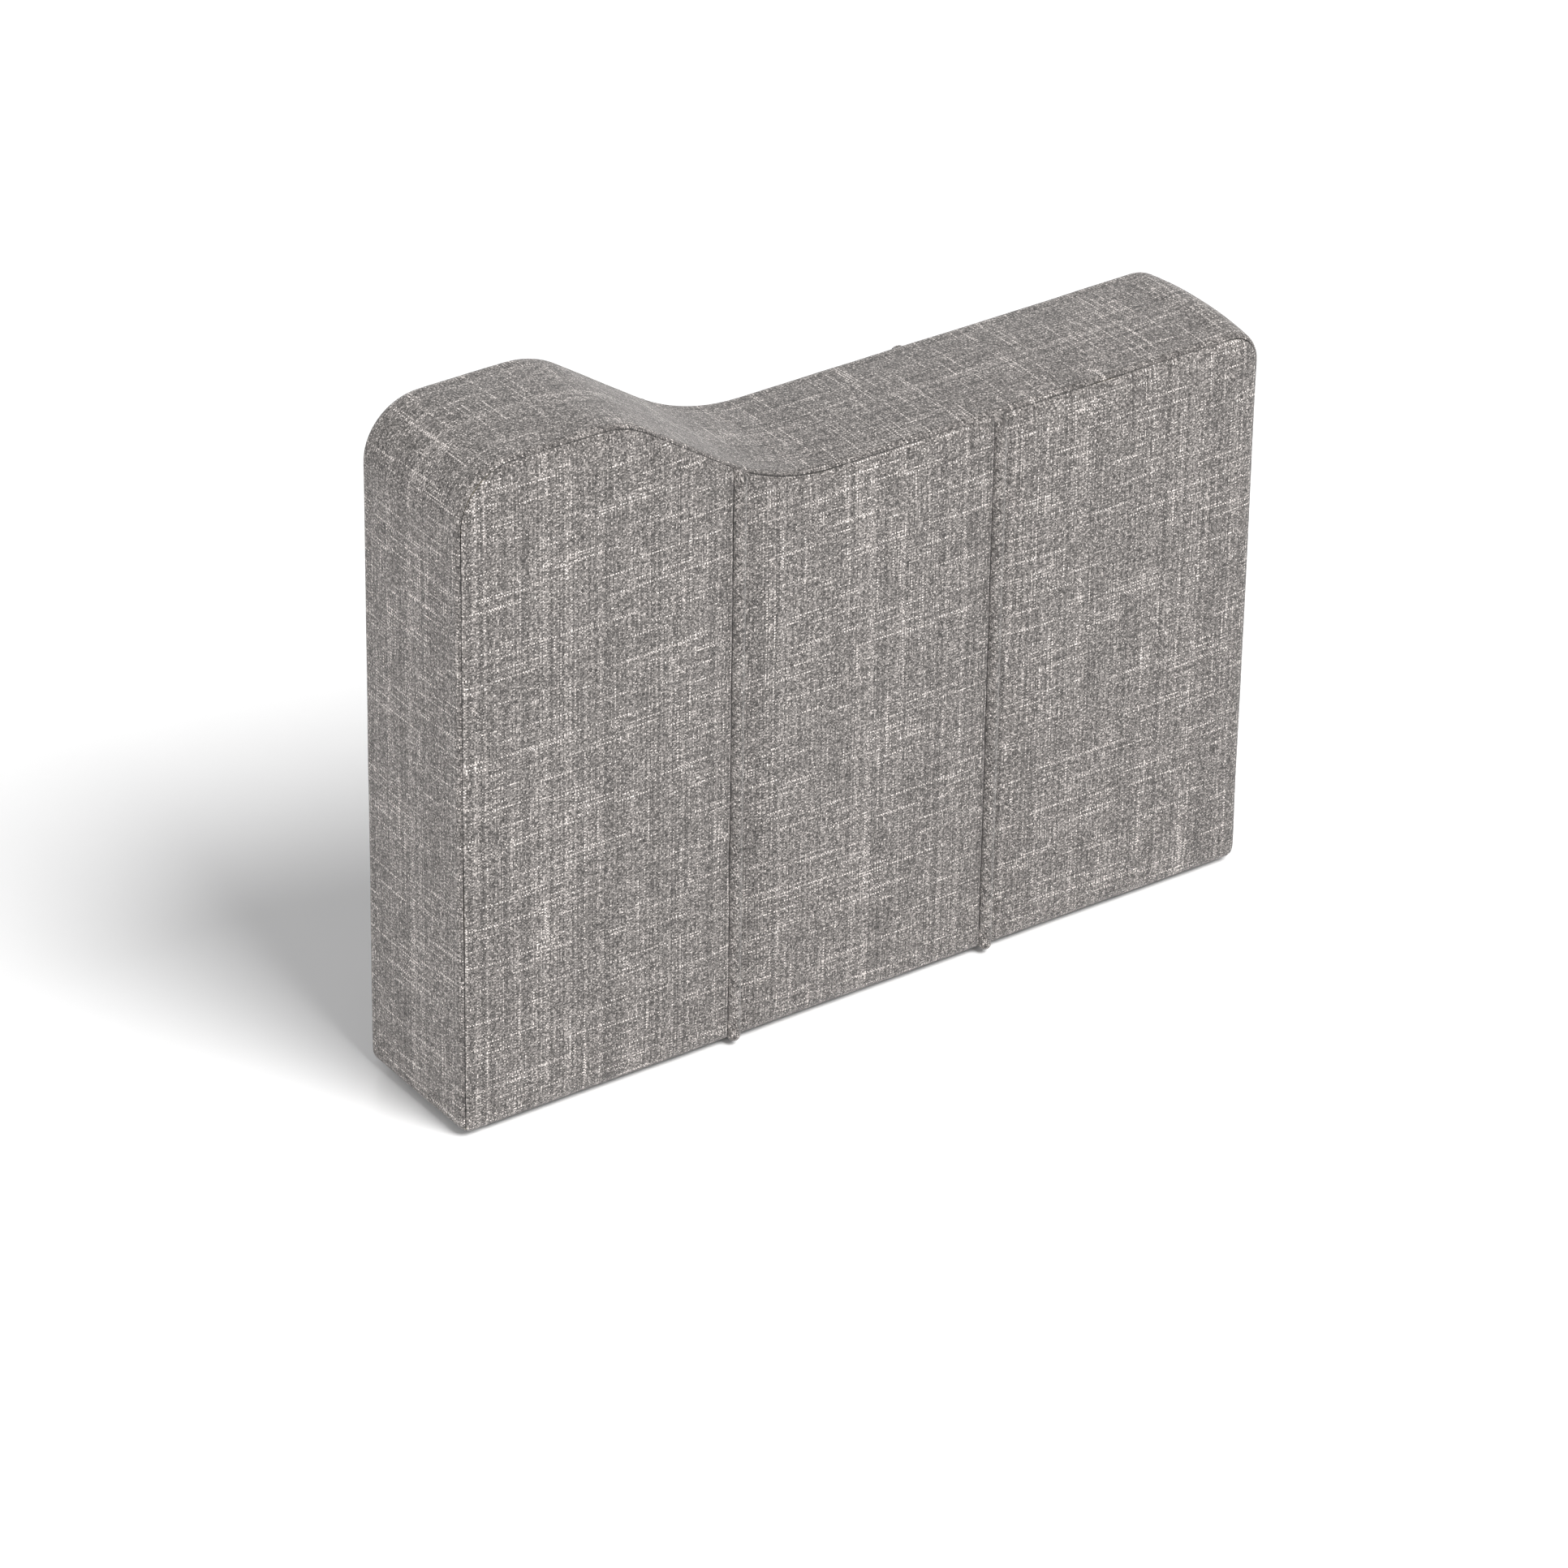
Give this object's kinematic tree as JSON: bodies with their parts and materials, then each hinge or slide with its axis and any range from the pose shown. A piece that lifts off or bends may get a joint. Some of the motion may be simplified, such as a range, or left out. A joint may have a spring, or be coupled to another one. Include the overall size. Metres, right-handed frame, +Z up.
{
  "type": "upholstered divider panel",
  "caption": "Free-standing upholstered divider panel with a stepped wave top, piped seams on both faces, and levelling glides under its base.",
  "frame": {"origin": "middle of the footprint on the floor, under the undersides of the glides", "axes": "+X along the length from the tall end to the low end, the front faces -Y, +Z up"},
  "size_m": [1, 0.1976, 0.777],
  "materials": {
    "cover_fabric": "warm grey melange upholstery weave with pale slubs and dark specks",
    "foam": "open-cell upholstery foam",
    "plywood": "raw birch plywood",
    "frame_board": "raw sawn board",
    "zinc_steel": "zinc plated",
    "dust_cloth": "black spun-bonded dust cloth",
    "glide_plastic": "matt black moulded plastic",
    "piping_cord": "twisted cotton piping cord"
  },
  "bodies": {
    "panel": {"base_board": "frame_board", "front_skin": "plywood", "back_skin": "plywood", "tall_end_board": "frame_board", "low_end_board": "frame_board", "tall_stud": "frame_board", "low_stud": "frame_board", "tall_top_rail": "frame_board", "slope_rail": "frame_board", "low_top_rail": "frame_board", "edge_board": "plywood", "corner_blocks": "plywood", "frame_screws": "zinc_steel", "t_nuts": "zinc_steel", "front_foam": "foam", "back_foam": "foam", "edge_foam": "foam", "front_cover_tall": "cover_fabric", "front_cover_middle": "cover_fabric", "front_cover_low": "cover_fabric", "back_cover_tall": "cover_fabric", "back_cover_middle": "cover_fabric", "back_cover_low": "cover_fabric", "border_cover": "cover_fabric", "front_piping_cover_1": "cover_fabric", "front_piping_cover_2": "cover_fabric", "back_piping_cover_1": "cover_fabric", "back_piping_cover_2": "cover_fabric", "front_piping_cord_1": "piping_cord", "front_piping_cord_2": "piping_cord", "back_piping_cord_1": "piping_cord", "back_piping_cord_2": "piping_cord", "dust_cover": "dust_cloth", "staples": "zinc_steel"},
    "glide_tall_front": {"glide_tall_front_pad": "glide_plastic", "glide_tall_front_stem": "zinc_steel"},
    "glide_tall_back": {"glide_tall_back_pad": "glide_plastic", "glide_tall_back_stem": "zinc_steel"},
    "glide_low_front": {"glide_low_front_pad": "glide_plastic", "glide_low_front_stem": "zinc_steel"},
    "glide_low_back": {"glide_low_back_pad": "glide_plastic", "glide_low_back_stem": "zinc_steel"}
  },
  "joints": [
    {"name": "tall_front_glide_level", "type": "slide", "parent": "panel", "child": "glide_tall_front", "axis": [0, 0, -1], "range_m": [0, 0.012]},
    {"name": "tall_back_glide_level", "type": "slide", "parent": "panel", "child": "glide_tall_back", "axis": [0, 0, -1], "range_m": [0, 0.012]},
    {"name": "low_front_glide_level", "type": "slide", "parent": "panel", "child": "glide_low_front", "axis": [0, 0, -1], "range_m": [0, 0.012]},
    {"name": "low_back_glide_level", "type": "slide", "parent": "panel", "child": "glide_low_back", "axis": [0, 0, -1], "range_m": [0, 0.012]}
  ]
}
